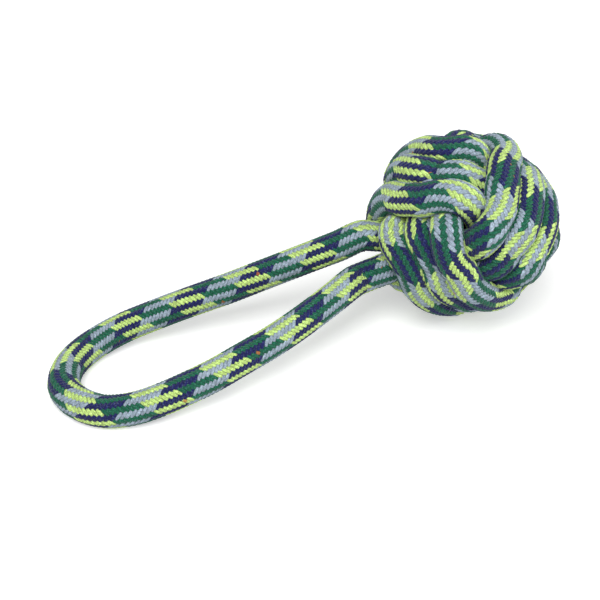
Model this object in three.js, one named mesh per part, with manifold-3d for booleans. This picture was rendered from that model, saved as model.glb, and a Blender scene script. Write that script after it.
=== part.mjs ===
// Rope dog toy: one thick braided rope. Its middle is left out as a long tug handle, and the
// rest is wound round a rubber core as a monkey's fist, the three-strand ball knot.
// Units are millimetres, +Z is up, and the toy rests on its ball and on the bend of its handle.

import * as THREE from 'three';
import { mergeVertices } from 'three/addons/utils/BufferGeometryUtils.js';
import Module from 'manifold-3d';

const wasm = await Module();
wasm.setup();

// Rope: round where it is free, pressed flatter where it is wound, drawn in where it is tucked
const ropeDiameter = 16;
const woundWidth = 15;
const woundThickness = 11.4;
const tuckedDiameter = 13;
const turnGap = 0.5;

// Core ball
const coreDiameter = 43.2;
const coreFacets = 32;

// Monkey's fist: three sets of three turns, each set square to the last
const turnsInSet = 3;
const knotTurnDegrees = [-20.4, -49.7, 125.5];
const dressingLooseness = 5;
const drawInLength = 12;
const swellShare = 1.12;
const endClearance = 2.5;

// Bindings of thread on the two hidden rope ends
const bindingLength = 9;
const bindingThickness = 0.7;
const bindingClearance = 0.3;
const bindingTaper = 3;

// Where two lengths of the same rope meet face to face, and where the rope passes into the ball
const jointGap = 0.3;
const tuckDepth = 28;
const flatDepth = ropeDiameter / 10;

// Handle route from the upper leg round the bend to the lower leg, from the ball's middle
const handleRoute = [
  [-54.1, 10.4, -0.5], [-65, 12, -5], [-79, 14.5, -9.5], [-93, 17, -14], [-107, 19.5, -18.5],
  [-121, 22, -23], [-135, 24.5, -27], [-149, 27, -31], [-163, 29, -35.1], [-176, 29.5, -38.2],
  [-188, 27, -40.2], [-200, 21, -41.3], [-210, 11, -41.5], [-214.5, -2, -41.5],
  [-211, -15, -41.5], [-201, -26, -41.3], [-188, -30.5, -40.2], [-175, -31.5, -38.2],
  [-161, -31, -35.6], [-147, -29.5, -33], [-133, -27, -30], [-119, -24, -27.5], [-105, -20, -25],
  [-92, -15.5, -22.5], [-79, -10.5, -20], [-66, -5, -17.5], [-52.6, 2.8, -19.2],
].map((p) => new THREE.Vector3(...p));

// Faceting of the rope
const handleStep = 7;
const handleSides = 10;
const stepsInTurn = 24;
const woundSides = 6;
const bindingSides = 20;

// Radii of the two layers of turns on the core, at the rope's middle
const coreRadius = coreDiameter / 2;
const innerRadius = coreRadius + turnGap + woundThickness / 2;
const outerRadius = innerRadius + woundThickness + turnGap;
const lanePitch = woundWidth + turnGap;

// Two places on the rope nearer than this along it can't press on each other
const bendLength = 1.5 * ropeDiameter;

const knotTurn = new THREE.Matrix4().makeRotationFromEuler(
  new THREE.Euler(...knotTurnDegrees.map(THREE.MathUtils.degToRad)),
);
const knotTurnBack = knotTurn.clone().invert();
const cornerOut = new THREE.Vector3(1, 1, 1).normalize();

const ease = (x) => THREE.MathUtils.smoothstep(x, 0, 1);

// How far outside the knot a place is: 0 where the rope is wound, 1 where it is free
const freeShare = (radius) => ease((radius - outerRadius) / drawInLength);

// The route that the rope takes before the knot is drawn tight. In each set the rope lies in the
// outer layer on two faces and in the inner layer on the two faces between them. It moves one lane
// over in each turn: most of the way slanting across one outer face, which is why the strands
// slant round that corner of the ball, and the rest at the edge where the set began.
function looseTurns() {
  const fullTurn = 360;
  const edgeAngle = 45;
  const guideStep = 12;
  const entryLead = 26;
  const startSkip = 15;
  const endSkip = 7.5;
  const slantShare = 0.69;
  const slantTurnShare = 0.37;
  const edgeTurnShare = 0.2;
  const laneShare = 0.91;
  const edges = [edgeAngle, -edgeAngle, -3 * edgeAngle];
  const slants = [3 * edgeAngle, edgeAngle, 3 * edgeAngle];
  const skips = [-entryLead, startSkip, startSkip];
  const axes = ['x', 'y', 'z'];
  const sets = axes.map((outer, i) => {
    const [inner, across] = [axes[(i + 1) % 3], axes[(i + 2) % 3]];
    return { outer, inner, across, start: edges[i], slant: slants[i], skip: skips[i] };
  });
  const middle = (outerRadius + innerRadius) / 2;
  const swing = (outerRadius - innerRadius) / 2;

  // From half a lane one way to half a lane the other, as the rope passes an angle
  const crossing = (swept, at, turnShare) => ease((swept - at) / fullTurn / turnShare + 1 / 2) - 1 / 2;

  return sets.map(({ outer, inner, across, start, slant, skip }) => {
    const points = [];
    const sweep = turnsInSet * fullTurn - endSkip;
    for (let swept = skip; swept < sweep; swept += guideStep) {
      let lane = 0;
      for (let turn = 0; turn < turnsInSet; turn += 1) {
        const edge = turn * fullTurn;
        lane += slantShare * crossing(swept, edge + slant, slantTurnShare);
        if (turn > 0) lane += (1 - slantShare) * crossing(swept, edge, edgeTurnShare);
      }
      const angle = THREE.MathUtils.degToRad(start + swept);
      const radius = middle + swing * Math.cos(2 * angle);
      const over = (-lane * laneShare * lanePitch) / radius;
      const point = new THREE.Vector3();
      point[outer] = radius * Math.cos(over) * Math.cos(angle);
      point[inner] = radius * Math.cos(over) * Math.sin(angle);
      point[across] = radius * Math.sin(over);
      points.push(point);
    }
    return points;
  });
}

function lengthOf(points) {
  let total = 0;
  for (let i = 1; i < points.length; i += 1) total += points[i].distanceTo(points[i - 1]);
  return total;
}

// The same line with count points, evenly spaced
function respace(points, count) {
  const step = lengthOf(points) / (count - 1);
  const spaced = [points[0].clone()];
  let walked = 0;
  for (let i = 1; i < points.length; i += 1) {
    const run = points[i].distanceTo(points[i - 1]);
    while (spaced.length < count - 1 && walked + run >= step * spaced.length) {
      const share = (step * spaced.length - walked) / run;
      spaced.push(points[i - 1].clone().lerp(points[i], share));
    }
    walked += run;
  }
  spaced.push(points[points.length - 1].clone());
  return spaced;
}

// Draws the knot tight. Each round straightens the rope a little and then moves apart the places
// that press on each other, sideways by the width and outwards by the thickness of the strand. The
// tail's last points may come nearer the core than a strand that lies on it.
function settle(wound, tucked) {
  const rounds = 150;
  const pushesInRound = 4;
  const pullShare = 0.12;
  const respaceEvery = 10;
  const heldWound = 2;
  const tailPoints = 5;
  const pressesCounted = 3;
  const countWound = wound.length;
  const nearSteps = Math.ceil(bendLength / (lengthOf(wound) / (countWound - 1)));
  let points = [...wound, ...tucked];
  const total = points.length;
  const tailStart = countWound - tailPoints;
  const isWound = (i) => i < countWound;
  const isHeld = (i) => !isWound(i) || i < heldWound;
  const widths = new Float64Array(total);
  const depths = new Float64Array(total);

  function measureStrand() {
    points.forEach((point, i) => {
      const free = freeShare(point.length());
      const width = isWound(i) ? woundWidth : tuckedDiameter;
      const depth = isWound(i) ? woundThickness : tuckedDiameter;
      widths[i] = width + (ropeDiameter - width) * free;
      depths[i] = depth + (ropeDiameter - depth) * free;
    });
  }

  // Calls visit(i, j, closeness, apart) for each pair that presses, where closeness is under 1
  function eachPress(visit) {
    const apart = new THREE.Vector3();
    const out = new THREE.Vector3();
    const reach = ropeDiameter + turnGap;
    for (let i = 0; i < total; i += 1) {
      for (let j = i + 1; j < total; j += 1) {
        if (isWound(i) === isWound(j) && j - i < nearSteps) continue;
        apart.subVectors(points[j], points[i]);
        if (Math.max(Math.abs(apart.x), Math.abs(apart.y), Math.abs(apart.z)) > reach) continue;
        out.addVectors(points[i], points[j]).normalize();
        const along = apart.dot(out);
        const aside = apart.lengthSq() - along ** 2;
        const width = (widths[i] + widths[j]) / 2 + turnGap;
        const depth = (depths[i] + depths[j]) / 2 + turnGap;
        const closeness = Math.sqrt(aside / width ** 2 + along ** 2 / depth ** 2);
        if (closeness < 1) visit(i, j, closeness, apart);
      }
    }
  }

  for (let round = 1; round <= rounds; round += 1) {
    points = points.map((point, i) => {
      const isEnd = i === 0 || i === countWound - 1 || i === countWound || i === total - 1;
      if (isEnd || isHeld(i)) return point;
      const between = points[i - 1].clone().add(points[i + 1]).divideScalar(2);
      return point.clone().lerp(between, pullShare);
    });
    measureStrand();
    for (let push = 0; push < pushesInRound; push += 1) {
      const moves = points.map(() => new THREE.Vector3());
      const presses = new Uint16Array(total);
      eachPress((i, j, closeness, apart) => {
        const share = (1 / closeness - 1) / 2;
        moves[i].addScaledVector(apart, -share);
        moves[j].addScaledVector(apart, share);
        presses[i] += 1;
        presses[j] += 1;
      });
      points.forEach((point, i) => {
        if (isHeld(i)) return;
        const share = Math.sqrt(Math.min(presses[i], pressesCounted)) / Math.max(presses[i], 1);
        point.addScaledVector(moves[i], share);
        const onCore = i < tailStart ? turnGap + depths[i] / 2 : endClearance;
        const least = coreRadius + onCore;
        const most = isWound(i) && i > nearSteps ? outerRadius + dressingLooseness : Infinity;
        point.clampLength(least, most);
      });
    }
    if (round % respaceEvery === 0) {
      const moving = respace(points.slice(heldWound - 1, countWound), countWound - heldWound + 1);
      points = [...points.slice(0, heldWound - 1), ...moving, ...points.slice(countWound)];
    }
  }

  return points.map((point, i) => ({ point, width: widths[i], depth: depths[i] }));
}

// One closed tube through stations of { middle, side, face, width, depth }, flat on its faces
function tube(stations, sides) {
  const positions = [];
  const index = [];
  stations.forEach(({ middle, side, face, width, depth }) => {
    for (let k = 0; k < sides; k += 1) {
      const angle = ((k + 1 / 2) / sides) * 2 * Math.PI;
      const point = middle.clone();
      point.addScaledVector(face, (depth / 2) * Math.cos(angle));
      point.addScaledVector(side, (width / 2) * Math.sin(angle));
      positions.push(point.x, point.y, point.z);
    }
  });
  const last = (stations.length - 1) * sides;
  for (let ring = 0; ring < last; ring += sides) {
    for (let k = 0; k < sides; k += 1) {
      const next = (k + 1) % sides;
      index.push(ring + k, ring + next, ring + sides + k);
      index.push(ring + next, ring + sides + next, ring + sides + k);
    }
  }
  for (let k = 1; k < sides - 1; k += 1) {
    index.push(0, k + 1, k);
    index.push(last, last + k, last + k + 1);
  }
  const geometry = new THREE.BufferGeometry();
  geometry.setAttribute('position', new THREE.Float32BufferAttribute(positions, 3));
  geometry.setIndex(index);
  return geometry;
}

// A ring of thread round one straight stretch of rope, between two stations of that rope
function threadRing(stations) {
  const outer = stations.map((station) => ({ ...station }));
  const inner = stations.map((station) => ({
    ...station,
    width: station.width - 2 * bindingThickness,
    depth: station.depth - 2 * bindingThickness,
  }));
  const [outside, inside] = [outer, inner].map((ring) => tube(ring, bindingSides));
  const positions = [...outside.attributes.position.array, ...inside.attributes.position.array];
  const wall = bindingSides * 2;
  const index = [];
  for (let k = 0; k < bindingSides; k += 1) {
    const next = (k + 1) % bindingSides;
    const far = bindingSides;
    const quads = [
      [k, next, far + next, far + k],
      [wall + k, wall + far + k, wall + far + next, wall + next],
      [k, wall + k, wall + next, next],
      [far + k, far + next, wall + far + next, wall + far + k],
    ];
    quads.forEach(([a, b, c, d]) => index.push(a, b, c, a, c, d));
  }
  const geometry = new THREE.BufferGeometry();
  geometry.setAttribute('position', new THREE.Float32BufferAttribute(positions, 3));
  geometry.setIndex(index);
  return geometry;
}

// Whole rope, from the end tucked in beside the core, out and round the handle, back into the
// ball and round the three sets of turns to the tail
const knotRoute = handleRoute.map((point) => point.clone().applyMatrix4(knotTurnBack));
const settleSpacing = 4.5;
const endRadius = coreRadius + endClearance;
const looseSets = looseTurns();
const looseWound = [
  ...knotRoute.slice(-2),
  ...looseSets.flat(),
  ...[outerRadius, innerRadius, endRadius].map((r) => cornerOut.clone().multiplyScalar(-r)),
];
// The tucked end leans away from the strand that comes in beside it
const tuckLean = [new THREE.Vector3(1, 0.75, 1.15), new THREE.Vector3(1, 0.6, 1.2)];
const tuckRadii = [innerRadius + woundThickness / 2, endRadius];
const looseTucked = [
  ...knotRoute.slice(0, 2).reverse(),
  ...tuckRadii.map((radius, i) => tuckLean[i].clone().setLength(radius)),
];
const pointsFor = (line) => respace(line, Math.round(lengthOf(line) / settleSpacing) + 1);
const wound = pointsFor(looseWound);
const tucked = pointsFor(looseTucked);
const settled = settle(wound, tucked);
const freeRope = knotRoute.slice(2, -2).map((point) => {
  return { point, width: ropeDiameter, depth: ropeDiameter };
});
const settledTucked = settled.slice(wound.length).reverse();
const rope = [...settledTucked, ...freeRope, ...settled.slice(0, wound.length)];

// The rope's line made smooth, with its length measured along it
const curve = new THREE.CatmullRomCurve3(rope.map(({ point }) => point), false, 'centripetal');
const finePerPoint = 8;
const fine = [];
for (let i = 0; i <= (rope.length - 1) * finePerPoint; i += 1) {
  const from = Math.min(Math.floor(i / finePerPoint), rope.length - 2);
  const share = i / finePerPoint - from;
  const point = curve.getPoint(i / finePerPoint / (rope.length - 1));
  const width = THREE.MathUtils.lerp(rope[from].width, rope[from + 1].width, share);
  const depth = THREE.MathUtils.lerp(rope[from].depth, rope[from + 1].depth, share);
  const walked = i === 0 ? 0 : fine[i - 1].walked + point.distanceTo(fine[i - 1].point);
  fine.push({ point, width, depth, walked });
}

// Whether the rope, cut square at one of these places, would come too near the core
function reachesCore(i) {
  const { point, width } = fine[i];
  const along = point.dot(point.clone().sub(fine[i - 1].point).normalize());
  const aside = Math.sqrt(point.lengthSq() - along ** 2);
  return Math.hypot(along, Math.max(0, aside - width / 2)) < coreRadius + bindingClearance;
}

// The tail ends where its binding is clear of the core
let lastPlace = fine.length - 1;
for (let i = lastPlace; fine[lastPlace].walked - fine[i].walked < bindingLength; i -= 1) {
  if (reachesCore(i)) lastPlace = i - 1;
}
const ropeLength = fine[lastPlace].walked;

function placeOn(walked) {
  let i = fine.findIndex((place) => place.walked > walked);
  if (i < 1) i = i < 0 ? fine.length - 1 : 1;
  const [a, b] = [fine[i - 1], fine[i]];
  const share = (walked - a.walked) / (b.walked - a.walked);
  return {
    walked,
    middle: a.point.clone().lerp(b.point, share),
    ahead: b.point.clone().sub(a.point).normalize(),
    width: THREE.MathUtils.lerp(a.width, b.width, share),
    depth: THREE.MathUtils.lerp(a.depth, b.depth, share),
  };
}

// In the ball the rope's flat face looks outwards. From the ball out along the handle it turns as
// little as it can.
function stationsAt(places, faceAtEnd) {
  const stations = places.map(placeOn);
  let face = faceAtEnd;
  for (let i = stations.length - 1; i >= 0; i -= 1) {
    const station = stations[i];
    if (!faceAtEnd) face = station.middle.clone().normalize();
    station.face = face.clone().addScaledVector(station.ahead, -face.dot(station.ahead)).normalize();
    station.side = station.ahead.clone().cross(station.face);
    face = station.face;
  }
  return stations;
}

const spread = (from, to, steps) => Array.from({ length: steps + 1 }, (_, i) => {
  return THREE.MathUtils.lerp(from, to, i / steps);
});

const woundStart = fine[(rope.length - wound.length) * finePerPoint].walked;
const setLengths = looseSets.map((points) => lengthOf(points));
const allSets = setLengths.reduce((sum, length) => sum + length, 0);
const handleEnd = woundStart + tuckDepth;
const setShares = [setLengths[0] / allSets, (setLengths[0] + setLengths[1]) / allSets, 1];
const setEnds = setShares.map((share) => handleEnd + (ropeLength - handleEnd) * share);

// Lets each strand swell, or squeezes it, until its neighbours are turnGap away: sideways where
// strands lie side by side, and outwards where they cross. Where one dives between others, both of
// its sizes are held.
function fillRoom(strands) {
  const cuts = 4;
  const passes = 50;
  const swellStep = 0.01;
  const facetShare = 0.97;
  const tightShare = 0.7;
  const steepestShare = 0.1;
  const diveShare = 0.5;
  const stations = strands.flat();
  const places = strands.flatMap((strand) => {
    return spread(0, strand.length - 1, (strand.length - 1) * cuts).map((at) => {
      const i = Math.min(Math.floor(at), strand.length - 2);
      const [from, to] = [strand[i], strand[i + 1]];
      const share = at - i;
      return {
        from,
        to,
        share,
        middle: from.middle.clone().lerp(to.middle, share),
        walked: THREE.MathUtils.lerp(from.walked, to.walked, share),
        width: THREE.MathUtils.lerp(from.width, to.width, share),
        depth: THREE.MathUtils.lerp(from.depth, to.depth, share),
      };
    });
  });

  // Each pair of places that may press, with the fill at which turnGap is left between them
  const pairs = { width: [], depth: [] };
  const reach = swellShare * ropeDiameter + turnGap;
  const apart = new THREE.Vector3();
  const out = new THREE.Vector3();
  places.forEach((a, i) => places.slice(i + 1).forEach((b) => {
    if (b.walked - a.walked < bendLength) return;
    apart.subVectors(b.middle, a.middle);
    const distance = apart.length();
    if (distance > reach) return;
    out.addVectors(a.middle, b.middle).normalize();
    apart.multiplyScalar(1 - turnGap / distance);
    const along = Math.abs(apart.dot(out));
    const aside = Math.sqrt(apart.lengthSq() - along ** 2);
    const x = (2 * aside) / (a.width + b.width);
    const y = (2 * along) / (a.depth + b.depth);
    const fill = facetShare * Math.hypot(x, y);
    const dives = [a, b].some(({ from }) => Math.abs(from.ahead.dot(out)) > diveShare);
    if (fill < swellShare && (dives || x > y)) pairs.width.push({ ends: [a, b], fill });
    if (fill < swellShare && (dives || x <= y)) pairs.depth.push({ ends: [a, b], fill });
  }));

  ['width', 'depth'].forEach((size) => {
    stations.forEach((station) => { station.fill = tightShare; });
    const fillAt = ({ from, to, share }) => THREE.MathUtils.lerp(from.fill, to.fill, share);
    for (let pass = 0; pass < passes; pass += 1) {
      pairs[size].forEach(({ ends, fill }) => {
        const over = (fillAt(ends[0]) + fillAt(ends[1])) / 2 - fill;
        if (over <= 0) return;
        ends.forEach(({ from, to, share }) => {
          const weight = (1 - share) ** 2 + share ** 2;
          from.fill -= (over * (1 - share)) / weight;
          to.fill -= (over * share) / weight;
        });
      });
    }
    const pressing = new Map(stations.map((station) => [station, []]));
    pairs[size].forEach((pair) => {
      const touched = new Set(pair.ends.flatMap(({ from, to }) => [from, to]));
      touched.forEach((station) => pressing.get(station).push(pair));
    });
    const isOver = ({ ends, fill }) => fillAt(ends[0]) + fillAt(ends[1]) > 2 * fill;
    for (let pass = 0; pass < passes; pass += 1) {
      stations.forEach((station) => {
        if (station.fill + swellStep > swellShare) return;
        station.fill += swellStep;
        if (pressing.get(station).some(isOver)) station.fill -= swellStep;
      });
    }
    for (let pass = 0; pass < passes; pass += 1) {
      strands.forEach((strand) => strand.forEach((station, i) => {
        const before = strand[Math.max(i - 1, 0)].fill;
        const after = strand[Math.min(i + 1, strand.length - 1)].fill;
        station.fill = Math.min(station.fill, before + steepestShare, after + steepestShare);
      }));
    }
    stations.forEach((station) => {
      station[size] = Math.min(station[size] * station.fill, ropeDiameter);
    });
  });
}

// Draws a rope end in under its binding, and gives the two stations of the binding itself
function bindEnd(end, inner) {
  const share = bindingLength / (bindingLength + bindingClearance);
  const width = Math.min(end.width, inner.width);
  const depth = Math.min(end.depth, inner.depth);
  const ahead = inner.middle.clone().sub(end.middle).normalize();
  const face = end.face.clone().addScaledVector(ahead, -end.face.dot(ahead)).normalize();
  const side = end.side.clone().addScaledVector(ahead, -end.side.dot(ahead)).normalize();
  const middle = end.middle.clone().lerp(inner.middle, share);
  const drawIn = 2 * (bindingThickness + bindingClearance);
  Object.assign(end, { width: width - drawIn, depth: depth - drawIn, face, side });
  Object.assign(inner, { width: width - drawIn, depth: depth - drawIn, face, side });
  return [{ ...end, width, depth }, { middle, face, side, width, depth }];
}

const boundLength = bindingLength + bindingClearance;
const handleSteps = Math.round((handleEnd - bindingLength) / handleStep);
const handlePlaces = [0, boundLength,
  ...spread(boundLength + bindingTaper, handleEnd - jointGap / 2, handleSteps)];
const handleFace = stationsAt([handleEnd])[0].face;
const handleStations = stationsAt(handlePlaces, handleFace);

// Each set's ends run straight for one rope diameter
const turnSteps = turnsInSet * stepsInTurn;
const [firstStations, secondStations, thirdStations] = setEnds.map((setEnd, i) => {
  const start = (i === 0 ? handleEnd : setEnds[i - 1]) + jointGap / 2;
  const isLast = i === setEnds.length - 1;
  const bound = setEnd - boundLength;
  const end = isLast ? bound - bindingTaper : setEnd - jointGap / 2;
  const between = spread(start + ropeDiameter, end - ropeDiameter, turnSteps - 2);
  return stationsAt([start, ...between, end, ...(isLast ? [bound, setEnd] : [])]);
});

// Where one length of the rope meets the next, both faces are square to the rope there
const lengths = [handleStations, firstStations, secondStations, thirdStations];
[handleEnd, ...setEnds.slice(0, -1)].forEach((joint, i) => {
  const { face, side } = stationsAt([joint])[0];
  Object.assign(lengths[i].at(-1), { face, side });
  Object.assign(lengths[i + 1][0], { face, side });
});
fillRoom(lengths);
const handleBinding = bindEnd(handleStations[0], handleStations[1]);
const tailBinding = bindEnd(thirdStations.at(-1), thirdStations.at(-2)).reverse();

// The least gap between two lengths of rope, or between one and itself, measured on points
function leastGap(stationsA, stationsB) {
  const cuts = 4;
  const sides = 12;
  const outline = (stations) => spread(0, stations.length - 1, (stations.length - 1) * cuts)
    .map((at) => {
      const i = Math.min(Math.floor(at), stations.length - 2);
      const [a, b] = [stations[i], stations[i + 1]];
      const middle = a.middle.clone().lerp(b.middle, at - i);
      const points = Array.from({ length: sides }, (_, k) => {
        const angle = (k / sides) * 2 * Math.PI;
        const [p, q] = [a, b].map(({ middle: centre, face, side, width, depth }) => centre.clone()
          .addScaledVector(face, (depth / 2) * Math.cos(angle))
          .addScaledVector(side, (width / 2) * Math.sin(angle)));
        return p.lerp(q, at - i);
      });
      return { at, middle, points };
    });
  const [ringsA, ringsB] = [outline(stationsA), outline(stationsB)];
  const isSame = stationsA === stationsB;
  const nearby = 2 * ropeDiameter;
  const skip = (bendLength * (stationsA.length - 1)) / lengthOf(stationsA.map((s) => s.middle));
  let least = Infinity;
  ringsA.forEach((ringA) => ringsB.forEach((ringB) => {
    if (isSame && ringB.at - ringA.at < skip) return;
    if (ringA.middle.distanceTo(ringB.middle) > nearby) return;
    ringA.points.forEach((a) => ringB.points.forEach((b) => {
      least = Math.min(least, a.distanceTo(b));
    }));
  }));
  return least;
}

// Placing: the ball rests on its lowest strand, and the handle on its bend
const lowestInSets = [firstStations, secondStations, thirdStations].map((stations) => {
  const turned = tube(stations, woundSides).applyMatrix4(knotTurn);
  turned.computeBoundingBox();
  return turned.boundingBox.min.z;
});
const middleHeight = -Math.min(...lowestInSets) - flatDepth;
const place = new THREE.Matrix4().makeTranslation(0, 0, middleHeight).multiply(knotTurn);

function toManifold(geometry) {
  const plain = geometry.clone();
  plain.deleteAttribute('normal');
  plain.deleteAttribute('uv');
  const merged = mergeVertices(plain);
  return new wasm.Manifold(new wasm.Mesh({
    numProp: 3,
    vertProperties: merged.attributes.position.array,
    triVerts: new Uint32Array(merged.index.array),
  }));
}

function toGeometry(solid) {
  const mesh = solid.getMesh();
  const geometry = new THREE.BufferGeometry();
  const positions = [];
  for (let i = 0; i < mesh.numVert; i += 1) {
    positions.push(...mesh.vertProperties.slice(i * mesh.numProp, i * mesh.numProp + 3));
  }
  geometry.setAttribute('position', new THREE.Float32BufferAttribute(positions, 3));
  geometry.setIndex(Array.from(mesh.triVerts));
  return geometry;
}

// The flat that a soft rope takes where it bears on the floor
function restOnFloor(geometry) {
  geometry.computeBoundingBox();
  const size = geometry.boundingBox.getSize(new THREE.Vector3());
  const middle = geometry.boundingBox.getCenter(new THREE.Vector3());
  if (geometry.boundingBox.min.z >= 0) return geometry;
  const floor = new THREE.BoxGeometry(2 * size.x, 2 * size.y, size.z);
  floor.translate(middle.x, middle.y, -size.z / 2);
  return toGeometry(toManifold(geometry).subtract(toManifold(floor)));
}

const toy = new THREE.Group();

function addPart(name, geometry, color, roughness) {
  geometry.applyMatrix4(place);
  const rested = restOnFloor(geometry);
  rested.computeVertexNormals();
  const mesh = new THREE.Mesh(rested, new THREE.MeshStandardMaterial({ color, roughness, metalness: 0 }));
  mesh.name = name;
  toy.add(mesh);
}

const core = new THREE.SphereGeometry(coreRadius, coreFacets, coreFacets / 2);
addPart('core_ball', core, 0x2b2b2b, 0.8);
addPart('handle_loop', tube(handleStations, handleSides), 0x1f6e50, 0.9);
addPart('first_turns', tube(firstStations, woundSides), 0xb9de6e, 0.9);
addPart('second_turns', tube(secondStations, woundSides), 0x2a2a6b, 0.9);
addPart('third_turns', tube(thirdStations, woundSides), 0x96a3b9, 0.9);
addPart('handle_end_binding', threadRing(handleBinding), 0xe6e2d6, 0.9);
addPart('tail_binding', threadRing(tailBinding), 0xe6e2d6, 0.9);

// The toy's own origin is on the floor under the middle of its box
const box = new THREE.Box3().setFromObject(toy);
toy.children.forEach(({ geometry }) => {
  geometry.translate(-(box.min.x + box.max.x) / 2, -(box.min.y + box.max.y) / 2, 0);
});

const gaps = { first: firstStations, second: secondStations, third: thirdStations };
Object.entries(gaps).forEach(([name, stations]) => {
  console.log(`Least gap in the ${name} set of turns: ${leastGap(stations, stations).toFixed(2)} mm`);
});
console.log(`Rope: ${ropeLength.toFixed(0)} mm, handle with its tucked ends ${handleEnd.toFixed(0)} mm`);

export default toy;
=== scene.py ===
"""Rope dog toy: one thick braided rope, wound at one end round a rubber core into a ball knot of
three sets of turns, with the rest left out as a long teardrop handle. Metres, +Z up."""

import math

import bpy
import numpy as np
from mathutils import Matrix, Vector


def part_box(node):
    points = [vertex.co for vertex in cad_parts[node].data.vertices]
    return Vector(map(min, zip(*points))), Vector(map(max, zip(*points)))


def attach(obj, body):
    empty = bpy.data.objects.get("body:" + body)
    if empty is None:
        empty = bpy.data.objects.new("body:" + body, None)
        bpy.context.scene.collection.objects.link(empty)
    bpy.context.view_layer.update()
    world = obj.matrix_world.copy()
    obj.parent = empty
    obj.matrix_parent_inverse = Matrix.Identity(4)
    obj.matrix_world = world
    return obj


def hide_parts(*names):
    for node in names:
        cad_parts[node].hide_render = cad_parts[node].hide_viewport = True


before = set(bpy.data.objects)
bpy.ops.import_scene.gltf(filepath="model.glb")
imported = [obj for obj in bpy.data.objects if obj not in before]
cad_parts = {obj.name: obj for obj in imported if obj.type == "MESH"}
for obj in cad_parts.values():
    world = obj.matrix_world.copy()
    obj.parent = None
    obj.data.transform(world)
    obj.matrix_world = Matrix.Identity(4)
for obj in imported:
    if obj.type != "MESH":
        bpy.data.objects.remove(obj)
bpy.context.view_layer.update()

# Camera
# The photograph looks down at the toy by 36 degrees, from the front and a little to the left, from
# about 0.6 m away.
ball_low, ball_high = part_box("core_ball")
ball_middle = (ball_low + ball_high) / 2
camera_from_ball = Vector((-0.27429, -0.45174, 0.32988))
camera_right = Vector((0.92718, -0.37461, 0.0))
camera_up = Vector((0.22019, 0.54498, 0.80902))
camera_ahead = Vector((0.30306, 0.75011, -0.58779))


def add_object(name, data):
    made = bpy.data.objects.new(name, data)
    bpy.context.collection.objects.link(made)
    return made


camera = add_object("camera", bpy.data.cameras.new("camera"))
camera.data.sensor_width = 36
camera.data.lens = 71.66
camera.data.clip_start = 0.01
camera_turn = Matrix((camera_right, camera_up, -camera_ahead)).transposed().to_4x4()
camera.matrix_world = Matrix.Translation(ball_middle + camera_from_ball) @ camera_turn
bpy.context.scene.camera = camera

# Route of the rope
# A single rope makes the whole toy. One end is tucked in beside the core, the rope goes out and
# round the handle and comes back into the ball, and then winds three sets of three turns.
rope_diameter = 0.016
wound_width = 0.015
wound_thickness = 0.0114
tucked_diameter = 0.013
turn_gap = 0.0005
core_radius = 0.0216
dressing_looseness = 0.005
end_clearance = 0.0025
draw_in_length = 0.012
turns_in_set = 3
knot_turn_degrees = (-20.4, -49.7, 125.5)
tuck_depth = 0.028
bend_diameters = 1.5

inner_radius = core_radius + turn_gap + wound_thickness / 2
outer_radius = inner_radius + wound_thickness + turn_gap
lane_pitch = wound_width + turn_gap
bend_length = bend_diameters * rope_diameter

# From the upper leg round the bend to the lower leg, from the middle of the ball. The knot's own
# lines begin with the last two places at each end.
handle_route = np.array([
    (-0.0541, 0.0104, -0.0005), (-0.065, 0.012, -0.005), (-0.079, 0.0145, -0.0095),
    (-0.093, 0.017, -0.014), (-0.107, 0.0195, -0.0185), (-0.121, 0.022, -0.023),
    (-0.135, 0.0245, -0.027), (-0.149, 0.027, -0.031), (-0.163, 0.029, -0.0351),
    (-0.176, 0.0295, -0.0382), (-0.188, 0.027, -0.0402), (-0.200, 0.021, -0.0413),
    (-0.210, 0.011, -0.0415), (-0.2145, -0.002, -0.0415), (-0.211, -0.015, -0.0415),
    (-0.201, -0.026, -0.0413), (-0.188, -0.0305, -0.0402), (-0.175, -0.0315, -0.0382),
    (-0.161, -0.031, -0.0356), (-0.147, -0.0295, -0.033), (-0.133, -0.027, -0.030),
    (-0.119, -0.024, -0.0275), (-0.105, -0.020, -0.025), (-0.092, -0.0155, -0.0225),
    (-0.079, -0.0105, -0.020), (-0.066, -0.005, -0.0175), (-0.0526, 0.0028, -0.0192),
])
route_overlap = 2


def turn_about(axis, degrees):
    return np.array(Matrix.Rotation(math.radians(degrees), 3, axis))


knot_turn = np.eye(3)
for axis, degrees in zip("XYZ", knot_turn_degrees):
    knot_turn = knot_turn @ turn_about(axis, degrees)
corner_out = np.full(3, 1 / math.sqrt(3))


def ease(x):
    x = np.clip(x, 0, 1)
    return x * x * (3 - 2 * x)


def free_share(radius):
    """0 in the ball and 1 outside it, for a radius from its middle."""
    return ease((radius - outer_radius) / draw_in_length)


def unit(vectors):
    return vectors / np.linalg.norm(vectors, axis=1)[:, None]


def lengths_of(points):
    return np.linalg.norm(np.diff(points, axis=0), axis=1)


def distances_along(points):
    return np.concatenate([[0], np.cumsum(lengths_of(points))])


def interpolate(at, known, points):
    return np.stack([np.interp(at, known, points[:, k]) for k in range(3)], axis=1)


def respace(points, count):
    walked = distances_along(points)
    return interpolate(np.linspace(0, walked[-1], count), walked, points)


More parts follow.
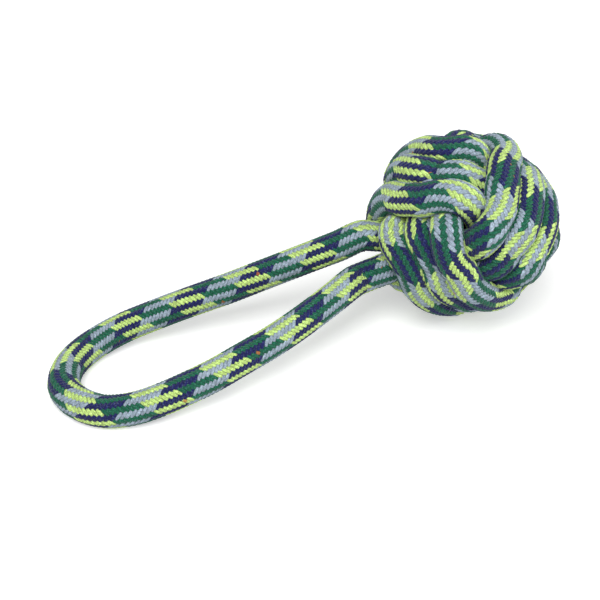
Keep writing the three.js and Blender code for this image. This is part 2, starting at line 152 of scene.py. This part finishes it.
def loose_turns():
    """The rope's route before the knot is drawn tight: outside on two faces of a set, inside on
    the two between. It moves one lane over in each turn, most of the way slanting across one outer
    face and the rest at the edge where the set began. Angles are in degrees."""
    full_turn, guide_step, entry_lead, start_skip, end_skip = 360, 12, 26, 15, 7.5
    slant_share, slant_turn_share, edge_turn_share, lane_share = 0.69, 0.37, 0.2, 0.91
    middle, swing = (outer_radius + inner_radius) / 2, (outer_radius - inner_radius) / 2
    # Each set's axes, the angles where it starts and slants over, and how far on its line begins
    sets = [(0, 1, 2, 45, 135, -entry_lead), (1, 2, 0, -45, 45, start_skip),
            (2, 0, 1, -135, 135, start_skip)]

    def crossing(turns, turn_share):
        """From half a lane one way to half a lane the other."""
        return ease(turns / turn_share + 0.5) - 0.5

    lines = []
    for outer, inner, across, start, slant, skip in sets:
        swept = np.arange(skip, full_turn * turns_in_set - end_skip, guide_step)
        lane = np.zeros(len(swept))
        for turn in range(turns_in_set):
            turns = swept / full_turn - turn
            lane += slant_share * crossing(turns - slant / full_turn, slant_turn_share)
            if turn:
                lane += (1 - slant_share) * crossing(turns, edge_turn_share)
        angle = np.radians(start + swept)
        radius = middle + swing * np.cos(2 * angle)
        over = -lane * lane_share * lane_pitch / radius
        line = np.empty((len(swept), 3))
        line[:, outer] = radius * np.cos(over) * np.cos(angle)
        line[:, inner] = radius * np.cos(over) * np.sin(angle)
        line[:, across] = radius * np.sin(over)
        lines.append(line)
    return lines


def strand_size(points, count_wound):
    """Width and thickness of the rope: round outside the ball, pressed flatter inside it."""
    free = free_share(np.linalg.norm(points, axis=1))
    is_wound = np.arange(len(points)) < count_wound
    width = np.where(is_wound, wound_width, tucked_diameter)
    thickness = np.where(is_wound, wound_thickness, tucked_diameter)
    return width + (rope_diameter - width) * free, thickness + (rope_diameter - thickness) * free


def closeness(points, sizes, pairs, gap):
    """How near each pair is: 1 where the strands touch, gap apart, and less where they press. Also
    the way from the one to the other."""
    i, j = pairs
    apart = points[j] - points[i]
    along = (apart * unit(points[i] + points[j])).sum(1)
    aside = (apart ** 2).sum(1) - along ** 2
    width, thickness = [(size[i] + size[j]) / 2 + gap for size in sizes]
    return np.sqrt(aside / width ** 2 + along ** 2 / thickness ** 2), apart


def settle(wound, tucked):
    """Draws the knot tight: the rope straightens a little in each round, and then the places that
    press on each other move apart. The tail's last places may come nearer the core than a strand
    that lies on it."""
    rounds, pushes_in_round, pull_share, respace_every = 150, 4, 0.12, 10
    held_wound, tail_places, presses_counted = 2, 5, 3
    count = len(wound)
    near_steps = math.ceil(bend_length / (lengths_of(wound).sum() / (count - 1)))
    points = np.concatenate([wound, tucked])
    index = np.arange(len(points))
    order = np.where(index < count, index, index + count)
    pushed = (index >= held_wound) & (index < count)
    pulled = pushed & (index < count - 1)
    furthest = np.where(index > near_steps, outer_radius + dressing_looseness, np.inf)
    i, j = np.triu_indices(len(points), 1)
    apart_enough = order[j] - order[i] >= near_steps
    i, j = i[apart_enough], j[apart_enough]
    for step in range(1, rounds + 1):
        between = points.copy()
        between[1:-1] = (points[:-2] + points[2:]) / 2
        points[pulled] += pull_share * (between - points)[pulled]
        sizes = strand_size(points, count)
        for _ in range(pushes_in_round):
            near = np.abs(points[j] - points[i]).max(1) <= rope_diameter + turn_gap
            pairs = i[near], j[near]
            close, apart = closeness(points, sizes, pairs, turn_gap)
            press = close < 1
            a, b = pairs[0][press], pairs[1][press]
            push = apart[press] * ((1 / close[press] - 1) / 2)[:, None]
            moves, presses = np.zeros_like(points), np.zeros(len(points))
            np.add.at(moves, a, -push)
            np.add.at(moves, b, push)
            np.add.at(presses, a, 1)
            np.add.at(presses, b, 1)
            share = np.sqrt(np.minimum(presses, presses_counted)) / np.maximum(presses, 1)
            points[pushed] += (moves * share[:, None])[pushed]
            radius = np.linalg.norm(points, axis=1)
            nearest = core_radius + np.where(
                index < count - tail_places, turn_gap + sizes[1] / 2, end_clearance)
            scale = np.clip(radius, nearest, np.maximum(furthest, nearest)) / radius
            points[pushed] *= scale[pushed][:, None]
        if step % respace_every == 0:
            points[1:count] = respace(points[1:count], count - 1)
    return points, (i, j)


knot_route = handle_route @ knot_turn
end_radius = core_radius + end_clearance
tail_end = [-corner_out * radius for radius in (outer_radius, inner_radius, end_radius)]
wound_line = np.concatenate([knot_route[-route_overlap:], *loose_turns(), tail_end])
tuck_ways = unit(np.array([(1, 0.75, 1.15), (1, 0.6, 1.2)]))
tuck_radii = np.array([inner_radius + wound_thickness / 2, end_radius])
tucked_line = np.concatenate([knot_route[:route_overlap][::-1], tuck_ways * tuck_radii[:, None]])
settle_spacing = 0.0045
wound, tucked = [
    respace(line, round(lengths_of(line).sum() / settle_spacing) + 1)
    for line in (wound_line, tucked_line)]
settled, press_pairs = settle(wound, tucked)

# Each strand is as full as its neighbours leave room for, and soft enough to press into them
fullest_width, fullest_thickness = 0.0174, 0.0148
most_fill, contact_fill, free_fill, clear_share = 1.28, 1.12, 1.02, 1.5
clear_of_ball = outer_radius + clear_share * dressing_looseness
sizes = np.array(strand_size(settled, len(wound)))
close, _ = closeness(settled, sizes, press_pairs, 0)
fill = np.full(len(settled), most_fill)
for places in press_pairs:
    np.minimum.at(fill, places, close * contact_fill)
most = np.where(np.linalg.norm(settled, axis=1) > clear_of_ball,
                rope_diameter * free_fill, [[fullest_width], [fullest_thickness]])
sizes = np.minimum(sizes * fill, most)


def order_along(values_settled, value_free):
    """Values in the rope's own order: the tucked end, the free handle and the wound rest."""
    count_free = len(knot_route) - 2 * route_overlap
    free = np.broadcast_to(value_free, (count_free, *np.shape(values_settled)[1:]))
    return np.concatenate([values_settled[len(wound):][::-1], free, values_settled[:len(wound)]])


rope_points = order_along(settled, knot_route[route_overlap:-route_overlap])
rope_sizes = order_along(sizes.T, rope_diameter)


def smooth_line(points, values, per_point):
    """A centripetal Catmull-Rom line through the points, with their values carried along it."""
    padded = np.concatenate([[2 * points[0] - points[1]], points, [2 * points[-1] - points[-2]]])
    share = np.arange(per_point)[:, None] / per_point
    fine, carried = [], []
    for k in range(len(points) - 1):
        knots = np.concatenate([[0], np.cumsum(np.sqrt(lengths_of(padded[k:k + 4])))])
        t = knots[1] + (knots[2] - knots[1]) * share

        def between(a, b, first, last):
            return ((knots[last] - t) * a + (t - knots[first]) * b) / (knots[last] - knots[first])

        sides = [between(padded[k + n], padded[k + n + 1], n, n + 1) for n in range(3)]
        halves = [between(sides[n], sides[n + 1], n, n + 2) for n in range(2)]
        fine.append(between(halves[0], halves[1], 1, 2))
        carried.append(values[k] * (1 - share) + values[k + 1] * share)
    return np.concatenate([*fine, points[-1:]]), np.concatenate([*carried, values[-1:]])


points_per_place = 8
fine_line, fine_sizes = smooth_line(rope_points, rope_sizes, points_per_place)
fine_line = fine_line @ knot_turn.T
fine_walked = distances_along(fine_line)
rope_length = fine_walked[-1]

# The rope is cut where its CAD lengths meet: the handle with its tucked ends, and each set
wound_start = fine_walked[(len(rope_points) - len(wound)) * points_per_place]
handle_end = wound_start + tuck_depth
set_lengths = np.array([lengths_of(turns).sum() for turns in loose_turns()])
set_ends = handle_end + (rope_length - handle_end) * np.cumsum(set_lengths) / set_lengths.sum()

# One ring of the rope's surface every sixty-fourth of a lead, the length in which a yarn goes
# once round the rope
lead_diameters, rings_in_lead = 2.25, 64
lead = lead_diameters * rope_diameter
ring_step = lead / rings_in_lead
ring_count = int(rope_length / ring_step) + 1
ring_at = np.arange(ring_count) * ring_step
ring_middle = interpolate(ring_at, fine_walked, fine_line)
size_rings_each_way, proud_rings_each_way = 12, 10


def averaged(values, each_way):
    """Each value with its neighbours, as many each way."""
    window = 2 * each_way + 1
    padded = np.pad(values, each_way, mode="edge")
    return np.convolve(padded, np.ones(window) / window, mode="valid")


ring_width, ring_thickness = [
    averaged(np.interp(ring_at, fine_walked, size), size_rings_each_way) for size in fine_sizes.T]

# The last 9 mm at each end is drawn in under its thread whipping
whipping_length, whipping_taper, whipped_size = 0.009, 0.004, 0.0115
whipped_rings = round(whipping_length / ring_step)
from_end = np.minimum(ring_at, ring_at[-1] - ring_at)
whipped = 1 - ease((from_end - whipping_length) / whipping_taper + 0.5)
ring_width += (whipped_size - ring_width) * whipped
ring_thickness += (whipped_size - ring_thickness) * whipped

# Rolled firm between the hands, so no strand stands proud of the ball, which is drawn in a little
# between the sets. The hollows' angles go round the ball as the camera faces it, from its right.
ball_radius, ball_spread, spread_taper = 0.0512, 1.025, 1.5
hollows, hollow_sharpness = ((87, 0.0052), (22, 0.0072), (-38, 0.0052), (-84, 0.0038)), 12
middle_out = np.linalg.norm(ring_middle, axis=1)
ring_out = ring_middle / middle_out[:, None]
unspread = ease((middle_out - outer_radius) / draw_in_length / spread_taper)
spread = 1 + (ball_spread - 1) * (1 - unspread)
ring_middle *= spread[:, None]
middle_out *= spread
ball_reach = np.full(ring_count, ball_radius)
for degrees, depth in hollows:
    towards = (camera_right * math.cos(math.radians(degrees))
               + camera_up * math.sin(math.radians(degrees)))
    ball_reach -= depth * np.exp(hollow_sharpness * (ring_out @ np.array(towards) - 1))
proud = np.maximum(middle_out + ring_thickness / 2 - ball_reach, 0)
proud[middle_out > clear_of_ball] = 0
ring_middle -= ring_out * averaged(proud, proud_rings_each_way)[:, None]
ring_ahead = unit(np.gradient(ring_middle, axis=0))


def square_to(vector, ahead):
    vector = vector - ahead * (vector @ ahead)
    return vector / np.linalg.norm(vector)


# In the ball the flatter face of the rope looks outwards, but for where the rope runs straight in
# or out. There, and along the handle, it turns as little as it can.
outward_pull, pull_loss = 0.1, 1.5
cut_rings = [0, *(round(at / ring_step) for at in (handle_end, *set_ends[:2])), ring_count - 1]
ring_face = np.empty((ring_count, 3))
first = cut_rings[1]
ring_face[first] = square_to(ring_out[first], ring_ahead[first])
for k in range(first - 1, -1, -1):
    ring_face[k] = square_to(ring_face[k + 1], ring_ahead[k])
for k in range(first + 1, ring_count):
    carried = square_to(ring_face[k - 1], ring_ahead[k])
    pull = outward_pull * max(0, 1 - abs(ring_out[k] @ ring_ahead[k]) * pull_loss)
    ring_face[k] = square_to(carried + pull * ring_out[k], ring_ahead[k])
ring_side = np.cross(ring_ahead, ring_face)

# Braid
# Thirty-two yarns cross two over and two under. Half of them, lime and green, run round the rope as
# a right-handed screw, and the other half, grey-blue and navy, as a left-handed one. Each hand
# shows as eight lengthwise rows of slanted stitches.
yarns_each_way = 16
rows_each_way = 8
crossing_share = 0.4
crown_share = 0.6
crown_fullness = 0.6
relief = 0.0009

# How the braid lies on the line of the rope: at each place, in leads from the handle's tucked end,
# how far it is turned round the rope, in turns, and drawn along it, in leads
braid_lay = np.array([
    (0.5, 0.141, 0.375), (2, 0.135, 0.401), (3.5, 0.065, 0.453), (4.5, 0.054, 0.515),
    (5.5, 0.075, 0.609), (6, 0.100, 0.693), (7, 0.211, 0.797), (7.5, 0.211, 0.812),
    (9, 0.162, 0.818), (11, 0.194, 0.740), (11.5, 0.160, 0.721), (13, 0.140, 0.656),
    (14.5, -0.062, 0.753), (20, -0.004, 0.746), (21.5, 0.007, 0.887), (26.5, 0.243, 1.016),
    (27, 0.205, 1.000), (28, 0.182, 1.000), (33, -0.130, 0.922), (34.5, -0.095, 0.953),
    (40.5, -0.109, 0.937), (41, -0.125, 0.922), (46, -0.456, 0.791), (46.5, -0.393, 0.750),
    (48, -0.328, 0.750), (53.5, -0.578, 0.844), (54.5, -0.615, 0.766), (55.5, -0.612, 0.719),
    (60.5, -0.655, 0.906), (61, -0.619, 0.891), (62, -0.632, 0.875), (67.5, -0.507, 1.172),
    (68.5, -0.500, 1.125), (71, -0.539, 1.125),
])
ring_leads = ring_at / lead
ring_turned, ring_drawn = [
    np.interp(ring_leads, braid_lay[:, 0], braid_lay[:, k]) for k in (1, 2)]


class Value:
    """A number in a node tree. Python's operators on it add the Math nodes."""

    def __init__(self, graph, socket):
        self.graph, self.socket = graph, socket

    def beside(self, output):
        """Another output of the same node."""
        return Value(self.graph, self.socket.node.outputs[output])

    def math(self, operation, *others):
        return self.graph.add("ShaderNodeMath", [self, *others], operation=operation)

    def __add__(self, other):
        return self.math("ADD", other)

    def __sub__(self, other):
        return self.math("SUBTRACT", other)

    def __rsub__(self, other):
        return self.graph.add("ShaderNodeMath", [other, self], operation="SUBTRACT")

    def __mul__(self, other):
        return self.math("MULTIPLY", other)

    def __truediv__(self, other):
        return self.math("DIVIDE", other)

    def __gt__(self, other):
        return self.math("GREATER_THAN", other)

    def __lt__(self, other):
        return self.math("LESS_THAN", other)

    def fraction(self):
        return self.math("FRACT")

    def whole(self):
        return self.math("FLOOR")

    def greater_of(self, other):
        return self.math("MAXIMUM", other)

    def clipped(self, most):
        """Not under 0 and not over most."""
        return self.greater_of(0.0).math("MINIMUM", most)

    __radd__, __rmul__ = __add__, __mul__


class Graph:
    """A shader's or a modifier's node tree, built node by node."""

    def __init__(self, tree):
        self.tree = tree
        tree.nodes.clear()

    def add(self, kind, sockets=(), output=0, **settings):
        node = self.tree.nodes.new(kind)
        for name, value in settings.items():
            setattr(node, name, value)
        pairs = sockets.items() if isinstance(sockets, dict) else enumerate(sockets)
        for key, value in pairs:
            if isinstance(value, Value):
                self.tree.links.new(value.socket, node.inputs[key])
            else:
                node.inputs[key].default_value = value
        return Value(self, node.outputs[output])

    def mix(self, share, first, second, blend="MIX"):
        """A colour between two. The node's colour sockets come after those for numbers."""
        sockets = {0: share, 6: first, 7: second}
        return self.add("ShaderNodeMix", sockets, output=2, data_type="RGBA", blend_type=blend)

    def noise(self, place, scale, detail):
        return self.add("ShaderNodeTexNoise", {"Vector": place, "Scale": scale, "Detail": detail})

    def place(self):
        """Where a point is on the toy."""
        return self.add("ShaderNodeTexCoord", output="Object")

    def end(self, kind, last):
        self.tree.links.new(last.socket, self.tree.nodes.new(kind).inputs[0])

    def end_finish(self, sockets):
        self.end("ShaderNodeOutputMaterial", self.add("ShaderNodeBsdfPrincipled", sockets))

    def end_mesh(self, geometry, finish):
        real = self.add("GeometryNodeRealizeInstances", {"Geometry": geometry})
        done = self.add("GeometryNodeSetMaterial", {"Geometry": real, "Material": finish})
        self.end("NodeGroupOutput", done)


def new_finish(name):
    """A material and the graph that its nodes go into."""
    material = bpy.data.materials.new(name)
    material.use_nodes = True
    return material, Graph(material.node_tree)


def new_tree(name, size_name, finish_name):
    """A modifier's tree that takes geometry, a size and a finish, and the graph of its nodes."""
    tree = bpy.data.node_groups.new(name, "GeometryNodeTree")
    for label, way, kind in (
            ("Geometry", "OUTPUT", "Geometry"), ("Geometry", "INPUT", "Geometry"),
            (size_name, "INPUT", "Float"), (finish_name, "INPUT", "Material")):
        tree.interface.new_socket(label, in_out=way, socket_type="NodeSocket" + kind)
    return tree, Graph(tree)


def braid_heights(along, around):
    """Where a place lies in the yarns of either hand, and how high each hand stands there. The
    place is along leads down the rope and around turns round it. In each row the right hand rides
    over in the first half and the left in the second."""
    right = (around - along) * yarns_each_way
    left = (around + along) * yarns_each_way + 0.5
    lift = ((around * rows_each_way).fraction() * 4 - 1) * (math.pi / 2)
    lift = lift.math("COSINE") * crossing_share
    heights = []
    for yarn, sign in ((right, 1), (left, -1)):
        across = (yarn.fraction() - 0.5) * 2
        squared = across * across
        crown = 1 - squared * (squared * crown_fullness + (1 - crown_fullness))
        heights.append(lift * sign + crown * crown_share)
    return right, left, *heights


def braid_tree():
    """Presses the braid into a smooth tube whose points know how far along and around they are."""
    tree, graph = new_tree("braid", "Relief", "Rope finish")
    tube = graph.add("NodeGroupInput")
    along, around = [
        graph.add("GeometryNodeInputNamedAttribute", {"Name": name}, data_type="FLOAT")
        for name in ("along", "around")]
    _, _, right_height, left_height = braid_heights(along, around)
    top = right_height.greater_of(left_height) - (crossing_share + crown_share)
    normal = graph.add("GeometryNodeInputNormal")
    depth = top * tube.beside("Relief")
    offset = graph.add("ShaderNodeVectorMath", {0: normal, "Scale": depth}, operation="SCALE")
    pressed = graph.add("GeometryNodeSetPosition", {"Geometry": tube, "Offset": offset})
    graph.end_mesh(pressed, tube.beside("Rope finish"))
    return tree


def linear(red, green, blue):
    """A colour as it looks on a screen, from 0 to 255, as the shaders want it."""
    white, dark, dark_slope, lift, power = 255, 0.04045, 12.92, 0.055, 2.4
    shares = [value / white for value in (red, green, blue)]
    return (*[share / dark_slope if share <= dark else ((share + lift) / (1 + lift)) ** power
              for share in shares], 1)


lime, green = linear(192, 222, 128), linear(20, 94, 70)
grey_blue, navy = linear(152, 168, 184), linear(24, 29, 88)
fleck_orange, fleck_share, fleck_strength = linear(204, 118, 60), 0.0012, 0.7
fibre_glint, glint_start, most_glint = linear(168, 196, 184), 0.55, 0.08
# Painted shade: a yarn is painted darker where it lies lower than this, in the hollows between the
# yarns
gap_shade_height, gap_shade_softness = 0.3, 0.35
filaments_across, filaments_along, fuzz_fineness = 6, 1.5, 1500.0
filament_rise, fuzz_rise = 0.6, 0.15

# How far each of these lightens a yarn, from the least that it leaves. The gap one is painted
# shade, darkest in the hollows between the yarns; the stitch, filament and fuzz ones are the yarn's
# own tone.
gap_shade_range, stitch_light = (0.62, 0.38), (0.3, 0.85)
filament_light, fuzz_light = (2.2, -0.05), (1.6, 0.2)


def rope_finish():
    """Matt spun yarn: each yarn keeps its colour, its filaments run along it, and painted shade
    darkens it where it dives under the next."""
    material, graph = new_finish("spun_yarn_braid")
    place = graph.add("ShaderNodeUVMap", uv_map="rope")
    along = graph.add("ShaderNodeSeparateXYZ", [place])
    right, left, right_height, left_height = braid_heights(along, along.beside("Y"))
    is_right = right_height > left_height
    right_colour = graph.mix((right.whole() / yarns_each_way * -1).fraction() < 0.5, green, lime)
    left_colour = graph.mix((left.whole() / yarns_each_way).fraction() < 0.5, navy, grey_blue)
    colour = graph.mix(is_right, left_colour, right_colour)

    # Here and there an orange marker filament shows in a stitch
    stitch = graph.add("ShaderNodeCombineXYZ", [right.whole(), left.whole(), is_right])
    shade = graph.add("ShaderNodeTexWhiteNoise", {"Vector": stitch})
    colour = graph.mix((shade < fleck_share) * fleck_strength, colour, fleck_orange)

    # Filaments, drawn out along whichever yarn is on top, and the short fuzz over them
    lies = [graph.add("ShaderNodeCombineXYZ", [
        across * filaments_across, down * filaments_along, across.whole()])
        for across, down in ((left, right), (right, left))]
    filament = graph.noise(graph.mix(is_right, *lies), scale=1, detail=3)
    fuzz = graph.noise(graph.place(), scale=fuzz_fineness, detail=3)
    colour = graph.mix((fuzz - glint_start).clipped(most_glint), colour, fibre_glint)
    top = right_height.greater_of(left_height)
    # Painted shade: darker where the top yarn lies low, in the hollows where it dives under the
    # next
    gap = ((top - gap_shade_height) / gap_shade_softness).clipped(1.0)
    painted_shade_and_tone, *others = [value * rise + least for value, (rise, least) in (
        (gap, gap_shade_range), (shade, stitch_light), (filament, filament_light), (fuzz, fuzz_light))]
    for light in others:
        painted_shade_and_tone = painted_shade_and_tone * light
    # The painted shade times the yarn's own stitch, filament and fuzz tone, as a grey that
    # multiplies the colour
    grey = graph.add("ShaderNodeCombineColor", [painted_shade_and_tone, painted_shade_and_tone, painted_shade_and_tone])
    bump = graph.add("ShaderNodeBump", {
        "Strength": 1.0, "Distance": 0.0005,
        "Height": top + filament * filament_rise + fuzz * fuzz_rise})
    graph.end_finish({
        "Base Color": graph.mix(1.0, colour, grey, "MULTIPLY"), "Roughness": 0.85,
        "Normal": bump, "Specular IOR Level": 0.25, "Sheen Weight": 0.15, "Sheen Roughness": 0.5})
    return material


rope_material = rope_finish()
braid = braid_tree()

# Handle loop and wound turns
# The same rope all through: the handle is left round, and the turns are pressed square where they
# lie against each other. Where the rope bears on the floor, it is pressed flat.
sides = 64
squareness_free, squareness_wound = 2.0, 2.2
ball_place = np.array(ball_middle)
path_rings = 4


def apply_tree(piece, tree, inputs):
    """Turns what the tree makes of the piece into its mesh. Each input is set by the identifier
    of the socket with its name."""
    modifier = piece.modifiers.new(tree.name, "NODES")
    modifier.node_group = tree
    for socket in tree.interface.items_tree:
        if socket.name in inputs:
            modifier[socket.identifier] = inputs[socket.name]
    bpy.context.view_layer.update()
    made = bpy.data.meshes.new_from_object(
        piece.evaluated_get(bpy.context.evaluated_depsgraph_get()))
    piece.modifiers.clear()
    piece.data = made


def rope_piece(name, first_ring, last_ring):
    """A length of the rope between two rings, closed at both ends."""
    rings = slice(first_ring, last_ring + 1)
    count = last_ring + 1 - first_ring
    free = free_share(np.linalg.norm(ring_middle[rings], axis=1))
    power = (squareness_wound + (squareness_free - squareness_wound) * free)[:, None]
    angle = np.arange(sides) / sides * 2 * math.pi
    cos, sin = np.cos(angle)[None], np.sin(angle)[None]
    reach = (np.abs(cos) ** power + np.abs(sin) ** power) ** (-1 / power)
    outward = (reach * cos * ring_thickness[rings, None] / 2)[:, :, None]
    sideways = (reach * sin * ring_width[rings, None] / 2)[:, :, None]
    points = (ball_place + ring_middle[rings, None]
              + ring_face[rings, None] * outward + ring_side[rings, None] * sideways)
    ring, side = np.meshgrid(np.arange(count - 1), np.arange(sides), indexing="ij")
    corner_ring = np.stack([ring, ring, ring + 1, ring + 1], -1)
    corner_side = np.stack([side, side + 1, side + 1, side], -1)
    quads = (corner_ring * sides + corner_side % sides).reshape(-1, 4)
    ends = [list(range(sides))[::-1], [(count - 1) * sides + n for n in range(sides)]]
    mesh = bpy.data.meshes.new(name)
    mesh.from_pydata(points.reshape(-1, 3).tolist(), [], quads.tolist() + ends)

    # The braid's places: on points for its relief, and on corners for its colours
    along = ring_leads[rings] + ring_drawn[rings]
    around = ring_turned[rings, None] + np.arange(sides + 1) / sides
    for attribute, values in (
            ("along", np.repeat(along, sides)), ("around", around[:, :-1].ravel())):
        mesh.attributes.new(attribute, "FLOAT", "POINT").data.foreach_set("value", values)
    places = np.stack([along[corner_ring], around[corner_ring, corner_side]], -1).reshape(-1, 2)
    places = np.concatenate([places, np.zeros((2 * sides, 2))])
    mesh.uv_layers.new(name="rope").data.foreach_set("uv", places.ravel())
    mesh.shade_smooth()
    piece = add_object(name, mesh)
    apply_tree(piece, braid, {"Relief": relief, "Rope finish": rope_material})
    flattened = np.empty(len(piece.data.vertices) * 3)
    piece.data.vertices.foreach_get("co", flattened)
    flattened[2::3] = np.maximum(flattened[2::3], 0)
    piece.data.vertices.foreach_set("co", flattened)
    piece.data.update()
    return piece


rope_pieces = (
    ("rope_handle", "handle_loop"), ("rope_first_turns", "first_turns"),
    ("rope_second_turns", "second_turns"), ("rope_third_turns", "third_turns"))
for (name, node), first_ring, last_ring in zip(rope_pieces, cut_rings, cut_rings[1:]):
    piece = rope_piece(name, first_ring, last_ring)
    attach(piece, "root")
    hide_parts(node)
    if node == "handle_loop":
        route = (ball_place + ring_middle[first_ring:last_ring + 1:path_rings]).tolist()

# Thread whippings
# Each rope end, hidden beside the core, is bound with thirteen turns of waxed thread, drawn tight
# so that the yarns can't fray.
thread_diameter = 0.0007
thread_sides, places_in_turn = 8, 32
thread_turns = round(whipped_rings * ring_step / thread_diameter)
thread_dull, thread_pale = linear(196, 186, 160), linear(232, 226, 208)


def whipping_tree():
    """Makes a round thread along the line that it is given."""
    tree, graph = new_tree("whipping", "Thread radius", "Thread finish")
    line = graph.add("NodeGroupInput")
    curve = graph.add("GeometryNodeMeshToCurve", {"Mesh": line})
    ring = graph.add("GeometryNodeCurvePrimitiveCircle", {
        "Resolution": thread_sides, "Radius": line.beside("Thread radius")})
    thread = graph.add("GeometryNodeCurveToMesh", {
        "Curve": curve, "Profile Curve": ring, "Fill Caps": True})
    graph.end_mesh(thread, line.beside("Thread finish"))
    return tree


def thread_finish():
    """Pale waxed thread, whose two plies show as a fine slanting grain."""
    material, graph = new_finish("waxed_thread")
    where = graph.place()
    plies = graph.add("ShaderNodeTexWave", {
        "Vector": where, "Scale": 900.0, "Distortion": 2.0, "Detail": 2.0},
        bands_direction="DIAGONAL")
    wear = graph.noise(where, scale=300, detail=4)
    colour = graph.mix((plies + wear) * 0.5, thread_dull, thread_pale)
    bump = graph.add("ShaderNodeBump", {"Strength": 0.6, "Distance": 0.0001, "Height": plies})
    graph.end_finish({"Base Color": colour, "Roughness": 0.55, "Normal": bump})
    return material


whipping = whipping_tree()
thread_material = thread_finish()
steps = np.linspace(0, 1, thread_turns * places_in_turn)
at_ring, known_rings = steps * (whipped_rings - 1), np.arange(whipped_rings)
angle = steps * thread_turns * 2 * math.pi
whippings = (
    ("whipping_handle_end", "handle_end_binding", slice(0, whipped_rings)),
    ("whipping_tail", "tail_binding", slice(ring_count - whipped_rings, ring_count)))
for name, node, rings in whippings:
    middle, face, side = [interpolate(at_ring, known_rings, values[rings])
                          for values in (ring_middle, ring_face, ring_side)]
    outward, sideways = [
        np.interp(at_ring, known_rings, values[rings]) / 2 + thread_diameter / 2
        for values in (ring_thickness, ring_width)]
    line = (ball_place + middle + face * (outward * np.cos(angle))[:, None]
            + side * (sideways * np.sin(angle))[:, None])
    mesh = bpy.data.meshes.new(name)
    mesh.from_pydata(line.tolist(), [(n, n + 1) for n in range(len(line) - 1)], [])
    piece = add_object(name, mesh)
    apply_tree(piece, whipping, {
        "Thread radius": thread_diameter / 2, "Thread finish": thread_material})
    piece.data.shade_smooth()
    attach(piece, "root")
    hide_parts(node)

# Core
# A solid rubber ball, moulded in one piece, that the turns are tied round. They alone hold it, and
# nothing of it shows outside.
rubber_black, rubber_worn = linear(38, 38, 40), linear(58, 57, 56)
least_rough, rough_range = 0.6, 0.2


def rubber_finish():
    """Black moulded rubber with a fine grain, duller and a little paler in patches."""
    material, graph = new_finish("moulded_rubber")
    where = graph.place()
    grain = graph.noise(where, scale=900, detail=3)
    wear = graph.noise(where, scale=60, detail=4)
    colour = graph.mix(wear, rubber_black, rubber_worn)
    bump = graph.add("ShaderNodeBump", {"Strength": 0.4, "Distance": 0.0002, "Height": grain})
    graph.end_finish({
        "Base Color": colour, "Roughness": wear * rough_range + least_rough, "Normal": bump})
    return material


core_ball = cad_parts["core_ball"]
core_ball.data.materials.clear()
core_ball.data.materials.append(rubber_finish())

# Floor and light
# A plain white floor that keeps the toy's shadow, under soft light from above and from both sides.
# Rays that show the background find it white, and a little brighter far from the toy.
floor_reach = 6
floor_grey, near_glow, far_glow = 0.8, 0.45, 0.75
glow_start, glow_range = 0.25, 0.6


def grey_of(share):
    return share, share, share, 1


def seen_by(graph):
    """1 for rays from the camera, and for those that gloss and glass send on."""
    camera_rays = graph.add("ShaderNodeLightPath")
    return (camera_rays + camera_rays.beside("Is Glossy Ray")
            + camera_rays.beside("Is Transmission Ray"))


floor = add_object("floor", bpy.data.meshes.new("floor"))
floor.data.from_pydata(
    [(x * floor_reach, y * floor_reach, 0) for x, y in ((-1, -1), (1, -1), (1, 1), (-1, 1))],
    [], [(0, 1, 2, 3)])
floor_material, floor_graph = new_finish("floor")
paint = floor_graph.add("ShaderNodeBsdfDiffuse", {"Color": grey_of(floor_grey)})
from_toy = floor_graph.add(
    "ShaderNodeVectorMath", [floor_graph.place()], "Value", operation="LENGTH")
far = ((from_toy - glow_start) / glow_range).clipped(1.0)
glow = floor_graph.add("ShaderNodeEmission", {
    "Color": floor_graph.mix(far, grey_of(near_glow), grey_of(far_glow)), "Strength": 1.0})
bright = floor_graph.add("ShaderNodeAddShader", [paint, glow])
floor_graph.end("ShaderNodeOutputMaterial", floor_graph.add(
    "ShaderNodeMixShader", [seen_by(floor_graph), paint, bright]))
floor.data.materials.append(floor_material)


def soft_light(name, place, size, power):
    lamp = add_object(name, bpy.data.lights.new(name, "AREA"))
    lamp.data.shape, lamp.data.size, lamp.data.energy = "DISK", size, power
    lamp.location = ball_middle + Vector(place)
    aim = Vector(place).to_track_quat("Z", "Y")
    lamp.rotation_mode, lamp.rotation_quaternion = "QUATERNION", aim


soft_light("key_light", place=(-0.5, -0.6, 1.2), size=0.9, power=14)
soft_light("fill_light", place=(0.9, -0.7, 0.6), size=0.8, power=5)
sky_strength, backdrop_strength = 0.38, 1.0
world = bpy.data.worlds.new("world")
bpy.context.scene.world = world
world.use_nodes = True
sky_graph = Graph(world.node_tree)
sky, backdrop = [
    sky_graph.add("ShaderNodeBackground", {"Color": grey_of(1), "Strength": strength})
    for strength in (sky_strength, backdrop_strength)]
sky_graph.end("ShaderNodeOutputWorld", sky_graph.add(
    "ShaderNodeMixShader", [seen_by(sky_graph), sky, backdrop]))

bpy.context.scene.view_settings.view_transform = "Standard"
